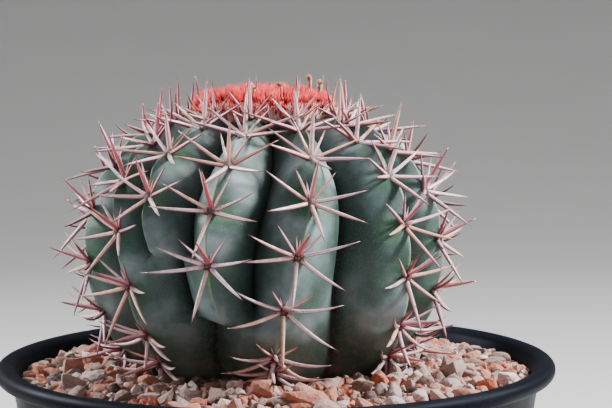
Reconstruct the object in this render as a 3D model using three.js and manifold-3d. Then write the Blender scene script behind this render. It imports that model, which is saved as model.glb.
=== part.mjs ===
// A round ribbed cactus with a red bristle cap, growing in a round plastic pot topped with grit.
// Millimetres, +Z up. The origin is the centre of the pot's underside, and -Y is the front.
// An azimuth is in degrees from the front, growing towards +X.
import * as THREE from "three";
import { mergeVertices } from "three/addons/utils/BufferGeometryUtils.js";
import Module from "manifold-3d";

const wasm = await Module();
wasm.setup();

// The pot: a tapered nursery pot with a rolled rim, standing on a foot ring. The roll's outline is
// given as how far it lies in from the rim's edge, and its height in half rolls from the middle.
const POT_HEIGHT = 160;
const RIM_RADIUS = 118;
const RIM_ROLL = 7;
const RIM_ROLL_OUTLINE = [[2.2, -1], [0.5, -0.5], [0, 0], [0.9, 0.6], [3.2, 1], [7.4, 0.86]];
const WALL_TOP_RADIUS = 111;
const WALL_FOOT_RADIUS = 84;
const WALL = 1.8;
const FLOOR_RISE = 4;
const FLOOR_THICKNESS = 2.6;
const FOOT_RING_WIDTH = 9;
const FOOT_BEVEL = 2;
const INNER_BEVEL = 3;
const POT_SIDES = 40;
const DRAIN_RADIUS = 5;
const DRAIN_SIDES = 10;
const DRAIN_CIRCLE = 58;
const DRAIN_COUNT = 8;
const GAP = 0.3;

// The fill: potting mix below, a layer of grit on top that rises towards the plant.
const GRIT_DEPTH = 26;
const GRIT_DROP_AT_WALL = 7;
const GRIT_DROP_AT_PLANT = 1.5;
const GRIT_SIDES = 36;
const GRIT_RINGS = [WALL_TOP_RADIUS, 103, 94, 85, 76, 66, 54];
const GRIT_RELIEF = 1.5;
const STONES = 112;
const STONE_FIELD = [59, 105];
const STONE_RADIUS = [3.8, 6.4];
const STONE_ROUGHNESS = 0.25;
const STONE_PROUD = [1.6, 3.8];
const STONE_SCATTER = 5;

// The stem, measured from the rim's plane up: a flattened globe of ribs.
const PLANT_X = -4.6;
const STEM_RADIUS = 76;
const WAIST = 51;
const RISE_ABOVE_WAIST = 55;
const DROP_BELOW_WAIST = 77;
const SHOULDER_POWER = 2.2;
const RIB_DEPTH = 19;
const RIB_FLANK = { even: 0.6, steep: 0.4, power: 4.6 };
const CROWN_RADIUS = 29;
const CROWN_HEIGHT = 101;
const CROWN_INSET = 2;

// The root's outline below the rim's plane, from its tip up into the stem.
const ROOT_OUTLINE = [[0, -75], [2.5, -74], [6, -49], [11, -28], [15, -20], [0, -20]];
const ROOT_SIDES = 12;

// Each rib's azimuth at the foot, the waist and the crown. A rib with from starts at that height,
// in the groove between two older ribs. first is how far down from the crown its top areole sits.
const RIBS = [
  { azimuths: [3, 10.4, 24], first: 9.5 },
  { azimuths: [58, 50.5, 54.5], first: 21.5 },
  { azimuths: [86, 74, 70], first: 9 },
  { azimuths: [125, 110, 98], first: 18 },
  { azimuths: [146, 138, 127], from: 38, first: 8 },
  { azimuths: [165, 163, 156], first: 20 },
  { azimuths: [200, 192, 185], first: 12 },
  { azimuths: [220, 221, 214], from: 32, first: 21 },
  { azimuths: [238, 250, 244], first: 9 },
  { azimuths: [279, 285, 270], first: 18 },
  { azimuths: [315.5, 310.5, 292], first: 24 },
  { azimuths: [342, 324, 316.5], from: 47, first: 8 },
  { azimuths: [355, 343.5, 350.5], from: 19, first: 13 },
];
const RIB_START_RAMP = 7;
const AREOLE_ABOVE_START = 16;

// The mesh's columns from a crest to the groove beside it, and its rows.
const RIB_STEPS = [0, 0.32, 0.66];
const STEM_LATITUDES = [-90, -74, -60, -49, -39, -30, -21, -12, -3, 6, 15, 24, 33, 42, 51, 60];

// The spines of one areole: how far each turns from up, how far it leans from the surface's
// outward direction, and its length.
const AREOLE_SPACING = 22;
const LOW_AREOLE_SPACING = 12;
const LOW_AREOLE_HEIGHT = 17;
const LOWEST_AREOLE = 3;
const SPINE_RADIUS = 1.15;
const SPINE_SINK = 2.2;
const SPINE_ROOT_SPREAD = 1.2;
const SPINE_TURN_SCATTER = 10;
const SPINE_LEAN_SCATTER = 8;
const SPINE_LENGTH_SCATTER = 0.2;
const SPINE_CLEARANCE = 1.2;
const SPINES = [
  { turn: 3, lean: 33, length: 20 },
  { turn: -27, lean: 62, length: 18 },
  { turn: 38, lean: 62, length: 16 },
  { turn: -65, lean: 66, length: 22 },
  { turn: 78, lean: 66, length: 22 },
  { turn: -100, lean: 66, length: 22 },
  { turn: 122, lean: 64, length: 24 },
  { turn: 186, lean: 52, length: 24 },
];

// The bristle cap on the crown.
const CAP_RADIUS = 28.8;
const CAP_CORE_HEIGHT = 12;
const CAP_SIDE_SHARE = 0.62;
const CAP_FOOT_INSET = 2.7;
const CAP_FOOT_RISE = 3.2;
const CAP_SIDES = 24;
const BRISTLES = 110;
const BRISTLE_LENGTH = 4.2;
const BRISTLE_RADIUS = 1;
const BRISTLE_SINK = 1.4;
const GOLDEN_ANGLE = 137.508;
const SIDE_BRISTLE_SHARE = 0.12;
const SIDE_BRISTLE_DROP = 3.4;
const BRISTLE_LEANS = { middle: 6, rim: 50, side: 62 };
const BRISTLE_ROOM = 2.2;
const CAP_CLEARANCE = 3.6;

// What is left of old flowers, and a fruit, standing in the cap: place on the cap and size.
const FLOWERS = [
  { x: 19, y: 4, tall: 14.5, lean: 3 },
  { x: 23, y: -4, tall: 14, lean: 4 },
  { x: 7.5, y: -13, tall: 11, lean: -2 },
  { x: -4, y: -18, tall: 10.5, lean: 2 },
];
const FLOWER_RADIUS = 1;
const FLOWER_OUTLINE = [[1, 0.2], [0.85, 0.5], [1.5, 0.78], [1.2, 0.97], [0, 0.9]];
const FLOWER_SIDES = 7;
const FRUIT = { x: -6, y: 4, tall: 9.5, radius: 1.9 };
const FRUIT_OUTLINE = [[0, 0], [0.8, 0], [1, 0.4], [1, 0.75], [0.75, 0.93], [0, 1]];
const HOLE_SIDES = 9;
const SEAT_DEPTH = 6;

const radians = THREE.MathUtils.degToRad;
const between = THREE.MathUtils.lerp;
const ease = THREE.MathUtils.smoothstep;
const turnTo = (degrees) => THREE.MathUtils.euclideanModulo(degrees, 360);
const ringPoint = (azimuth, radius, z) =>
  new THREE.Vector3(radius * Math.sin(radians(azimuth)), -radius * Math.cos(radians(azimuth)), z);

const blend = (a, ofA, b, ofB) => a.clone().multiplyScalar(ofA).addScaledVector(b, ofB);

// A seeded stream of numbers from 0 to 1.
function seeded(seed) {
  let state = seed;
  return () => {
    state = (state * 1664525 + 1013904223) % 4294967296;
    return state / 4294967296;
  };
}

// A geometry with positions only, its shared corners merged.
function bare(geometry) {
  const plain = geometry.clone();
  plain.deleteAttribute("normal");
  plain.deleteAttribute("uv");
  return mergeVertices(plain, 1e-3);
}

function solidOf(geometry) {
  const merged = bare(geometry);
  return new wasm.Manifold(
    new wasm.Mesh({
      numProp: 3,
      vertProperties: merged.attributes.position.array,
      triVerts: new Uint32Array(merged.index.array),
    }),
  );
}

function geometryOf(solid) {
  const { numProp, numVert, vertProperties, triVerts } = solid.getMesh();
  const position = new Float32Array(numVert * 3);
  for (let i = 0; i < numVert; i++) {
    position.set(vertProperties.subarray(i * numProp, i * numProp + 3), i * 3);
  }
  const geometry = new THREE.BufferGeometry();
  geometry.setAttribute("position", new THREE.BufferAttribute(position, 3));
  geometry.setIndex(new THREE.BufferAttribute(triVerts, 1));
  geometry.computeVertexNormals();
  return geometry;
}

const joined = (solids) => wasm.Manifold.union(solids);

// The one body that matters: crumbs that a cut leaves loose are dropped.
function largest(solid) {
  return solid.decompose().sort((a, b) => b.volume() - a.volume())[0];
}

// A turned solid from its outline, which runs from the axis out, up and back to the axis.
function turned(outline, sides) {
  const points = outline.map(([radius, z]) => new THREE.Vector2(radius, z));
  return new THREE.LatheGeometry(points, sides).rotateX(Math.PI / 2);
}

// A straight three-sided needle from its sunk root to its tip.
function needle(root, tip, radius) {
  const length = root.distanceTo(tip);
  const along = tip.clone().sub(root).normalize();
  const cone = new THREE.ConeGeometry(radius, length, 3).translate(0, length / 2, 0);
  cone.applyQuaternion(new THREE.Quaternion().setFromUnitVectors(new THREE.Vector3(0, 1, 0), along));
  return solidOf(cone.translate(root.x, root.y, root.z));
}

// Pot

const wallRadius = (z) => between(WALL_FOOT_RADIUS, WALL_TOP_RADIUS, z / POT_HEIGHT) - WALL;
const floorTop = FLOOR_RISE + FLOOR_THICKNESS;

function potGeometry() {
  const half = RIM_ROLL / 2;
  const outerWall = wallRadius(POT_HEIGHT - RIM_ROLL) + WALL;
  const footInner = WALL_FOOT_RADIUS - FOOT_RING_WIDTH;
  const body = turned(
    [
      [0, FLOOR_RISE],
      [footInner - FOOT_BEVEL, FLOOR_RISE],
      [footInner, 0],
      [WALL_FOOT_RADIUS - FOOT_BEVEL, 0],
      [wallRadius(FOOT_BEVEL) + WALL, FOOT_BEVEL],
      [outerWall, POT_HEIGHT - RIM_ROLL - 1],
      ...RIM_ROLL_OUTLINE.map(([inset, rise]) => [RIM_RADIUS - inset, POT_HEIGHT - half + rise * half]),
      [wallRadius(POT_HEIGHT - INNER_BEVEL), POT_HEIGHT - INNER_BEVEL],
      [wallRadius(floorTop + INNER_BEVEL), floorTop + INNER_BEVEL],
      [wallRadius(floorTop) - INNER_BEVEL, floorTop],
      [0, floorTop],
    ],
    POT_SIDES,
  );
  const drain = new THREE.CylinderGeometry(DRAIN_RADIUS, DRAIN_RADIUS, 3 * floorTop, DRAIN_SIDES);
  drain.rotateX(Math.PI / 2);
  const drains = [solidOf(drain)];
  for (let i = 0; i < DRAIN_COUNT; i++) {
    const place = ringPoint((360 * i) / DRAIN_COUNT, DRAIN_CIRCLE, 0);
    drains.push(solidOf(drain.clone().translate(place.x, place.y, 0)));
  }
  return geometryOf(solidOf(body).subtract(joined(drains)));
}

// Stem

// The rib's crest line, seen from the side, at a latitude from -90 at the foot to 90 at the top.
function crestLine(latitude) {
  const power = latitude < 0 ? 1 : 2 / SHOULDER_POWER;
  const height = latitude < 0 ? DROP_BELOW_WAIST : RISE_ABOVE_WAIST;
  const sine = Math.sin(radians(latitude));
  return {
    radius: STEM_RADIUS * Math.cos(radians(latitude)) ** power,
    z: WAIST + Math.sign(sine) * height * Math.abs(sine) ** power,
  };
}

// The direction that faces out from the crest line, as its radial and upward shares.
function outward(latitude) {
  const below = crestLine(latitude - 0.5);
  const above = crestLine(latitude + 0.5);
  const run = new THREE.Vector2(above.z - below.z, below.radius - above.radius).normalize();
  return { radial: run.x, up: run.y };
}

const grooveDepth = (latitude) =>
  RIB_DEPTH * ease(latitude, -62, -5) * (1 - 0.5 * ease(latitude, 45, 70));

// A rib's azimuth at a height, on a smooth line through its three given azimuths.
function ribAzimuth(rib, z) {
  const [foot, waist, crown] = rib.azimuths;
  const t = THREE.MathUtils.clamp(z / (2 * WAIST), 0, 1);
  return foot * (1 - t) * (1 - 2 * t) + waist * 4 * t * (1 - t) + crown * t * (2 * t - 1);
}

// How far an azimuth lies between the crest and the groove of the ribs beside it, as a height
// from 0 in the groove to 1 on the crest. A flank falls evenly at first, then steeply to its groove.
function flankHeight(azimuth, ribs, z) {
  const offsets = ribs.map((rib) => turnTo(ribAzimuth(rib, z) - azimuth));
  const ahead = Math.min(...offsets);
  const behind = Math.min(...offsets.map((offset) => 360 - offset));
  const across = Math.min(ahead, behind) / ((ahead + behind) / 2);
  return 1 - RIB_FLANK.even * across - RIB_FLANK.steep * across ** RIB_FLANK.power;
}

// The same with the younger ribs rising out of their grooves, the lowest start first.
function ribHeight(azimuth, z) {
  const standing = RIBS.filter((rib) => rib.from === undefined);
  const starting = RIBS.filter((rib) => rib.from !== undefined).sort((a, b) => a.from - b.from);
  let height = flankHeight(azimuth, standing, z);
  for (const rib of starting) {
    standing.push(rib);
    const share = ease(z, rib.from, rib.from + RIB_START_RAMP);
    if (share > 0) {
      height = between(height, flankHeight(azimuth, standing, z), share);
    }
  }
  return height;
}

function stemPoint(azimuth, latitude, grow) {
  const crest = crestLine(latitude);
  const face = outward(latitude);
  const sunk = grooveDepth(latitude) * (1 - ribHeight(azimuth, crest.z)) - grow;
  const radius = Math.max(0, crest.radius - face.radial * sunk);
  return ringPoint(azimuth, latitude === -90 ? 0 : radius, crest.z - face.up * sunk);
}

// The azimuth of each mesh column at a height: crests, flanks and grooves keep their columns.
function columnAzimuth(column, z) {
  const perRib = 2 * RIB_STEPS.length;
  const rib = Math.floor(column / perRib) % RIBS.length;
  const here = ribAzimuth(RIBS[rib], z);
  const step = column % perRib;
  const toNext = turnTo(ribAzimuth(RIBS[(rib + 1) % RIBS.length], z) - here);
  const share = step < RIB_STEPS.length ? RIB_STEPS[step] / 2 : 1 - (RIB_STEPS[perRib - step] ?? 1) / 2;
  return here + toNext * share;
}

const crownLatitude = THREE.MathUtils.radToDeg(
  Math.acos((CROWN_RADIUS / STEM_RADIUS) ** (SHOULDER_POWER / 2)),
);

// The ribbed body. grow makes it larger all over, for the hole that it stands in.
function ribbedBody(grow = 0) {
  const latitudes = [...STEM_LATITUDES, crownLatitude];
  const columns = RIBS.length * 2 * RIB_STEPS.length;
  const rows = latitudes.length + 2;
  const grid = new THREE.LatheGeometry(Array.from({ length: rows }, () => new THREE.Vector2()), columns);
  const position = grid.attributes.position;
  for (let column = 0; column <= columns; column++) {
    for (let row = 0; row < rows; row++) {
      const inCrown = row - latitudes.length;
      const height = inCrown < 0 ? crestLine(latitudes[row]).z : CROWN_HEIGHT;
      const azimuth = columnAzimuth(column % columns, height);
      const flat = ringPoint(azimuth, inCrown ? 0 : CROWN_RADIUS - CROWN_INSET, CROWN_HEIGHT + grow);
      const point = inCrown < 0 ? stemPoint(azimuth, latitudes[row], grow) : flat;
      position.setXYZ(column * rows + row, point.x, point.y, point.z);
    }
  }
  return solidOf(grid);
}

function root(grow = 0) {
  return solidOf(turned(ROOT_OUTLINE.map(([radius, z]) => [radius && radius + grow, z - grow]), ROOT_SIDES));
}

// The crest line sampled from the crown down, with the distance run along it.
function crestSamples() {
  const samples = [];
  let run = 0;
  let last = crestLine(crownLatitude);
  for (let latitude = crownLatitude; latitude > -60; latitude -= 0.25) {
    const here = crestLine(latitude);
    run += Math.hypot(here.radius - last.radius, here.z - last.z);
    samples.push({ latitude, run, z: here.z });
    last = here;
  }
  return samples;
}

// Where one rib's areoles sit, from the crown down, closer together near the grit.
function areoleLatitudes(rib, samples) {
  const found = [];
  let next = rib.first;
  for (const { latitude, run, z } of samples) {
    if (z < Math.max(LOWEST_AREOLE, (rib.from ?? -Infinity) + AREOLE_ABOVE_START)) {
      break;
    }
    if (run >= next) {
      found.push(latitude);
      next += z < LOW_AREOLE_HEIGHT ? LOW_AREOLE_SPACING : AREOLE_SPACING;
    }
  }
  return found;
}

const gritTop = (radius) =>
  -between(GRIT_DROP_AT_PLANT, GRIT_DROP_AT_WALL, ease(radius, 66, WALL_TOP_RADIUS));

// Bends a tip clear of the grit and of the bristle cap.
function clearTip(tip) {
  const radius = Math.hypot(tip.x, tip.y);
  tip.z = Math.max(tip.z, gritTop(radius) + STONE_PROUD[1] + SPINE_CLEARANCE);
  const nearest = CAP_RADIUS + CAP_CLEARANCE;
  if (tip.z > CROWN_HEIGHT - 6 && radius < nearest) {
    tip.x *= nearest / radius;
    tip.y *= nearest / radius;
  }
  return tip;
}

function areoleSpines(azimuth, latitude, random) {
  const crest = crestLine(latitude);
  const face = outward(latitude);
  const normal = ringPoint(azimuth, face.radial, face.up);
  const upward = ringPoint(azimuth, -face.up, face.radial);
  const rightward = upward.clone().cross(normal);
  const centre = ringPoint(azimuth, crest.radius, crest.z);
  return SPINES.map(({ turn, lean, length }) => {
    const turnedBy = radians(turn + SPINE_TURN_SCATTER * (random() - 0.5));
    const leansBy = radians(lean + SPINE_LEAN_SCATTER * (random() - 0.5));
    const reach = length * (1 + SPINE_LENGTH_SCATTER * (random() - 0.5)) + SPINE_SINK;
    const sideways = blend(upward, Math.cos(turnedBy), rightward, Math.sin(turnedBy));
    const along = blend(normal, Math.cos(leansBy), sideways, Math.sin(leansBy));
    const start = blend(centre, 1, sideways, SPINE_ROOT_SPREAD).addScaledVector(normal, -SPINE_SINK);
    return needle(start, clearTip(blend(start, 1, along, reach)), SPINE_RADIUS);
  });
}

function stemSolid() {
  const random = seeded(11);
  const samples = crestSamples();
  const spines = RIBS.flatMap((rib) =>
    areoleLatitudes(rib, samples).flatMap((latitude) =>
      areoleSpines(ribAzimuth(rib, crestLine(latitude).z), latitude, random),
    ),
  );
  return joined([ribbedBody(), root(), ...spines]);
}

// Fill

const toPlant = (solid) => solid.translate([PLANT_X, 0, POT_HEIGHT]);

function soilSolid() {
  const top = POT_HEIGHT - GRIT_DEPTH - GAP;
  const outline = [
    [0, floorTop + GAP],
    [wallRadius(floorTop) - INNER_BEVEL - GAP, floorTop + GAP],
    [wallRadius(floorTop + INNER_BEVEL) - GAP, floorTop + INNER_BEVEL + GAP],
    [wallRadius(top) - GAP, top],
    [0, top],
  ];
  return solidOf(turned(outline, POT_SIDES)).subtract(toPlant(root(GAP)));
}

// Pushes every corner above a height by up to the given amount each way.
function jolt(geometry, amount, random, above = -Infinity) {
  const position = geometry.attributes.position;
  const push = () => amount * (2 * random() - 1);
  for (let i = 0; i < position.count; i++) {
    if (position.getZ(i) > above) {
      position.setXYZ(i, position.getX(i) + push(), position.getY(i) + push(), position.getZ(i) + push());
    }
  }
}

// One angular stone: an octahedron with its corners pushed in and out.
function stone(radius, random) {
  const geometry = bare(new THREE.OctahedronGeometry(radius));
  jolt(geometry, STONE_ROUGHNESS * radius, random);
  const anyTurn = () => 2 * Math.PI * random();
  return geometry.rotateX(anyTurn()).rotateY(anyTurn()).rotateZ(anyTurn());
}

// The bed of small stones: a disc whose top is pushed up and down at every corner.
function gritBed(bottom, random) {
  const surface = GRIT_RINGS.map((radius) => [radius, POT_HEIGHT + gritTop(radius)]);
  const bed = bare(turned([[0, bottom], [WALL_TOP_RADIUS, bottom], ...surface, [0, POT_HEIGHT]], GRIT_SIDES));
  jolt(bed, GRIT_RELIEF, random, bottom + 1);
  return solidOf(bed);
}

// Where the larger stones lie: evenly along a spiral, each a little off its place, with its size and
// how far it stands out of the bed.
function stonePlaces() {
  const random = seeded(5);
  return Array.from({ length: STONES }, (_, i) => {
    const radius = Math.sqrt(between(STONE_FIELD[0] ** 2, STONE_FIELD[1] ** 2, (i + 0.5) / STONES));
    const place = ringPoint(i * GOLDEN_ANGLE, radius, POT_HEIGHT + gritTop(radius));
    place.x += STONE_SCATTER * (random() - 0.5);
    place.y += STONE_SCATTER * (random() - 0.5);
    return { place, size: between(...STONE_RADIUS, random()), proud: between(...STONE_PROUD, random()) };
  });
}

function gritSolid() {
  const random = seeded(8);
  const bottom = POT_HEIGHT - GRIT_DEPTH;
  const stones = stonePlaces().map(({ place, size, proud }) => {
    const body = stone(size, random);
    body.computeBoundingBox();
    return solidOf(body.translate(place.x, place.y, place.z + proud - body.boundingBox.max.z));
  });
  const inside = turned(
    [
      [0, bottom],
      [wallRadius(bottom) - GAP, bottom],
      [wallRadius(POT_HEIGHT - INNER_BEVEL) - GAP, POT_HEIGHT - INNER_BEVEL],
      [wallRadius(POT_HEIGHT - INNER_BEVEL) - GAP, POT_HEIGHT + GRIT_DEPTH],
      [0, POT_HEIGHT + GRIT_DEPTH],
    ],
    POT_SIDES,
  );
  const heap = joined([gritBed(bottom, random), ...stones]).intersect(solidOf(inside));
  return largest(heap.subtract(toPlant(joined([ribbedBody(2 * GAP), root(GAP)]))));
}

// Cap, old flowers and fruit

const capBase = CROWN_HEIGHT + GAP;

// The cap's core: its radius and height from the rim of its dome to the middle.
const capDome = (share) => ({
  radius: CAP_RADIUS * share,
  z: capBase + CAP_CORE_HEIGHT * between(CAP_SIDE_SHARE, 1, Math.sqrt(1 - share ** 2)),
});

const seatHeight = (x, y) => capDome(Math.hypot(x, y) / CAP_RADIUS).z - SEAT_DEPTH;

function capSolid() {
  const core = turned(
    [
      [0, capBase],
      [CROWN_RADIUS - CAP_FOOT_INSET, capBase],
      [CAP_RADIUS, capBase + CAP_FOOT_RISE],
      ...[1, 0.96, 0.85, 0.66, 0.4, 0].map((share) => [capDome(share).radius, capDome(share).z]),
    ],
    CAP_SIDES,
  );
  const seats = [...FLOWERS.map((flower) => ({ ...flower, radius: FLOWER_RADIUS })), FRUIT];
  const holes = seats.map(({ x, y, radius }) => {
    const deep = CAP_CORE_HEIGHT + BRISTLE_LENGTH;
    const hole = new THREE.CylinderGeometry(radius + GAP, radius + GAP, deep, HOLE_SIDES);
    return solidOf(hole.rotateX(Math.PI / 2).translate(x, y, seatHeight(x, y) + deep / 2));
  });
  const bristles = [];
  for (let i = 0; i < BRISTLES; i++) {
    const share = Math.sqrt((i + 0.5) / BRISTLES) * (1 + SIDE_BRISTLE_SHARE);
    const onSide = share > 1;
    const dome = capDome(Math.min(share, 1));
    const drop = onSide ? ((share - 1) / SIDE_BRISTLE_SHARE) * SIDE_BRISTLE_DROP : 0;
    const lean = onSide ? BRISTLE_LEANS.side : between(BRISTLE_LEANS.middle, BRISTLE_LEANS.rim, share ** 3);
    const along = ringPoint(i * GOLDEN_ANGLE, Math.sin(radians(lean)), Math.cos(radians(lean)));
    const start = ringPoint(i * GOLDEN_ANGLE, dome.radius, dome.z - drop);
    const tip = blend(start, 1, along, onSide ? BRISTLE_LENGTH * 0.6 : BRISTLE_LENGTH);
    if (seats.every(({ x, y, radius }) => Math.hypot(tip.x - x, tip.y - y) > radius + BRISTLE_ROOM)) {
      bristles.push(needle(blend(start, 1, along, -BRISTLE_SINK), tip, BRISTLE_RADIUS));
    }
  }
  return joined([solidOf(core), ...bristles]).subtract(joined(holes));
}

// A dried flower: a thin tube with a crumpled, wider end that tips over a little.
function flowerGeometry({ x, y, tall, lean }) {
  const free = tall - SEAT_DEPTH;
  const outline = FLOWER_OUTLINE.map(([wide, high]) => [wide * FLOWER_RADIUS, SEAT_DEPTH + high * free]);
  const geometry = turned([[0, 0], [FLOWER_RADIUS, 0], ...outline], FLOWER_SIDES);
  const position = geometry.attributes.position;
  for (let i = 0; i < position.count; i++) {
    const above = Math.max(0, position.getZ(i) / free - SEAT_DEPTH / free - FLOWER_OUTLINE[0][1]);
    position.setX(i, position.getX(i) + lean * above ** 2);
  }
  return geometry.translate(x, y, seatHeight(x, y) + GAP);
}

function fruitGeometry({ x, y, tall, radius }) {
  const outline = FRUIT_OUTLINE.map(([wide, high]) => [wide * radius, high * tall]);
  return turned(outline, HOLE_SIDES).translate(x, y, seatHeight(x, y) + GAP);
}

const material = (color, roughness) => new THREE.MeshStandardMaterial({ color, roughness, metalness: 0 });
const materials = {
  plastic: material(0x14161c, 0.42),
  soil: material(0x3b2c22, 0.95),
  grit: material(0xb39480, 0.9),
  skin: material(0x6f9384, 0.6),
  bristle: material(0xd9534a, 0.75),
  husk: material(0xc9a878, 0.85),
  fruit: material(0xc8375f, 0.4),
};

function named(name, geometry, look) {
  const mesh = new THREE.Mesh(geometry, look);
  mesh.name = name;
  return mesh;
}

const plant = new THREE.Group();
plant.position.set(PLANT_X, 0, POT_HEIGHT);
plant.add(named("cactus_stem_with_spines", geometryOf(stemSolid()), materials.skin));
plant.add(named("bristle_cap", geometryOf(capSolid()), materials.bristle));
FLOWERS.forEach((flower, i) => {
  plant.add(named(`dried_flower_${i + 1}`, flowerGeometry(flower), materials.husk));
});
plant.add(named("fruit", fruitGeometry(FRUIT), materials.fruit));

const pottedCactus = new THREE.Group();
pottedCactus.add(named("pot", potGeometry(), materials.plastic));
pottedCactus.add(named("potting_mix", geometryOf(soilSolid()), materials.soil));
pottedCactus.add(named("top_grit", geometryOf(gritSolid()), materials.grit));
pottedCactus.add(plant);

export default pottedCactus;
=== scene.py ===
# %% [markdown]
# # A round cactus with a red cap, in a nursery pot
# The solids that were made in CAD are loaded first and stay where they are. Each visible piece is then
# built in the same frame, in metres, so nothing has to be fitted afterwards.
# The plant is described by a few formulas: a line for the crest of a rib, a depth for the groove beside it
# and an azimuth for every rib. Skin, areoles and spines all read the same formulas, so they agree.

import math
import random

import bmesh
import bpy
from mathutils import Matrix, Vector, noise


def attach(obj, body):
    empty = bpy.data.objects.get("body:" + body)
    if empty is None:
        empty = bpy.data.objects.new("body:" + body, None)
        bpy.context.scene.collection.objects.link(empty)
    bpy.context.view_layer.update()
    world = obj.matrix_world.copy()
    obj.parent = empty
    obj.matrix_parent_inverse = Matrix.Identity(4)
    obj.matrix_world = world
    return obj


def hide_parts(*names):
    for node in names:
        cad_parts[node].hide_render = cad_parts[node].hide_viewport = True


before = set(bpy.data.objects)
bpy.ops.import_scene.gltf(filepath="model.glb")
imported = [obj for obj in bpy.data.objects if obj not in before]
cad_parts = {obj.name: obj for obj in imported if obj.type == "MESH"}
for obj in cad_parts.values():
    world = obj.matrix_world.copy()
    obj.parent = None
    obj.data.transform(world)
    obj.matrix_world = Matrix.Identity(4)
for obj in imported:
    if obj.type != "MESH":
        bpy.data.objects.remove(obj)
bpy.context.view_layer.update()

# %% [markdown]
# ## Shared helpers
# Sizes below are in millimetres, and they are scaled to metres once, when a piece is finished. An azimuth is
# in degrees from the front of the pot (-Y), growing towards +X. Whatever is round about the upright axis
# starts as half an outline, because spinning that makes a wall which closes on itself.

# %% Helpers for shapes
MM = 0.001
PLANT = Vector((-4.6, 0.0, 160.0))


def mix(low, high, share):
    return low + (high - low) * share


def ease(value, low, high):
    """Rises smoothly from 0 to 1 while a value goes from low to high."""
    t = min(1.0, max(0.0, (value - low) / (high - low)))
    return t * t * (3 - 2 * t)


def around(azimuth, radius, z):
    turn = math.radians(azimuth)
    return Vector((radius * math.sin(turn), -radius * math.cos(turn), z))


def arc(centre, radius, start, end, steps):
    """Points of an outline on a circle arc, from one angle to another."""
    angles = [math.radians(mix(start, end, i / steps)) for i in range(steps + 1)]
    return [(centre[0] + radius * math.cos(a), centre[1] + radius * math.sin(a)) for a in angles]


def spin_profile(outline, steps, place=(0, 0, 0)):
    """Turns an outline of (radius, height) pairs about the upright axis and moves it to its place."""
    bm = bmesh.new()
    verts = [bm.verts.new((radius, 0.0, height)) for radius, height in outline]
    edges = [bm.edges.new(pair) for pair in zip(verts, verts[1:])]
    bmesh.ops.spin(
        bm, geom=verts + edges, cent=(0, 0, 0), axis=(0, 0, 1), angle=2 * math.pi, steps=steps, use_merge=True
    )
    bmesh.ops.remove_doubles(bm, verts=bm.verts, dist=1e-4)
    bmesh.ops.recalc_face_normals(bm, faces=bm.faces)
    bmesh.ops.translate(bm, vec=place, verts=bm.verts)
    return bm


print("the plant's axis meets the rim's plane at", PLANT.to_tuple())


# %% Helpers for objects
def mesh_from(bm, name):
    """Turns a bmesh into a mesh with smooth shading."""
    mesh = bpy.data.meshes.new(name)
    bm.to_mesh(mesh)
    bm.free()
    mesh.polygons.foreach_set("use_smooth", [True] * len(mesh.polygons))
    return mesh


def add_object(name, data):
    thing = bpy.data.objects.new(name, data)
    bpy.context.scene.collection.objects.link(thing)
    return thing


def finish_piece(bm, name, material, nodes):
    """Turns a bmesh in millimetres into a finished piece in metres, riding on the one body."""
    bmesh.ops.scale(bm, vec=(MM, MM, MM), verts=bm.verts)
    piece = add_object(name, mesh_from(bm, name))
    piece.data.materials.append(material)
    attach(piece, "root")
    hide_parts(*nodes)
    triangles = sum(len(face.vertices) - 2 for face in piece.data.polygons)
    print(f"{name}: {triangles} triangles")
    return piece


# %% [markdown]
# ## Helpers for materials
# Every finish starts from the Principled shader and reads Object coordinates through a Mapping node, so a
# pattern has a real size in metres. One node group, "Mottle", gives soft blotches and fine specks as two
# masks. Skin, stone, plastic and soil all use it with their own sizes.

# %% The shared Mottle group
mottle = bpy.data.node_groups.new("Mottle", "ShaderNodeTree")
mottle.interface.new_socket("Vector", in_out="INPUT", socket_type="NodeSocketVector")
for label, start in (("Blotch Scale", 60.0), ("Speck Scale", 900.0), ("Speck Amount", 0.5)):
    socket = mottle.interface.new_socket(label, in_out="INPUT", socket_type="NodeSocketFloat")
    socket.default_value = start
for label in ("Blotch", "Speck"):
    mottle.interface.new_socket(label, in_out="OUTPUT", socket_type="NodeSocketFloat")
group_in = mottle.nodes.new("NodeGroupInput")
group_out = mottle.nodes.new("NodeGroupOutput")
blotch = mottle.nodes.new("ShaderNodeTexNoise")
blotch.inputs["Detail"].default_value = 4.0
speck = mottle.nodes.new("ShaderNodeTexNoise")
speck.inputs["Detail"].default_value = 2.0
cut = mottle.nodes.new("ShaderNodeMapRange")
cut.inputs["From Min"].default_value = 0.5
cut.inputs["From Max"].default_value = 0.68
for source, output, target, socket in (
    (group_in, "Vector", blotch, "Vector"),
    (group_in, "Blotch Scale", blotch, "Scale"),
    (group_in, "Vector", speck, "Vector"),
    (group_in, "Speck Scale", speck, "Scale"),
    (speck, "Fac", cut, "Value"),
    (group_in, "Speck Amount", cut, "To Max"),
    (blotch, "Fac", group_out, "Blotch"),
    (cut, "Result", group_out, "Speck"),
):
    mottle.links.new(source.outputs[output], target.inputs[socket])
print("links in Mottle:", len(mottle.links))

# %% [markdown]
# ## A finish in a few lines
# Nodes could be placed by hand in the editor. In a script, a small class with one method for each kind of
# node keeps a material short, and its lines read in the order in which the layers of colour lie.


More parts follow.
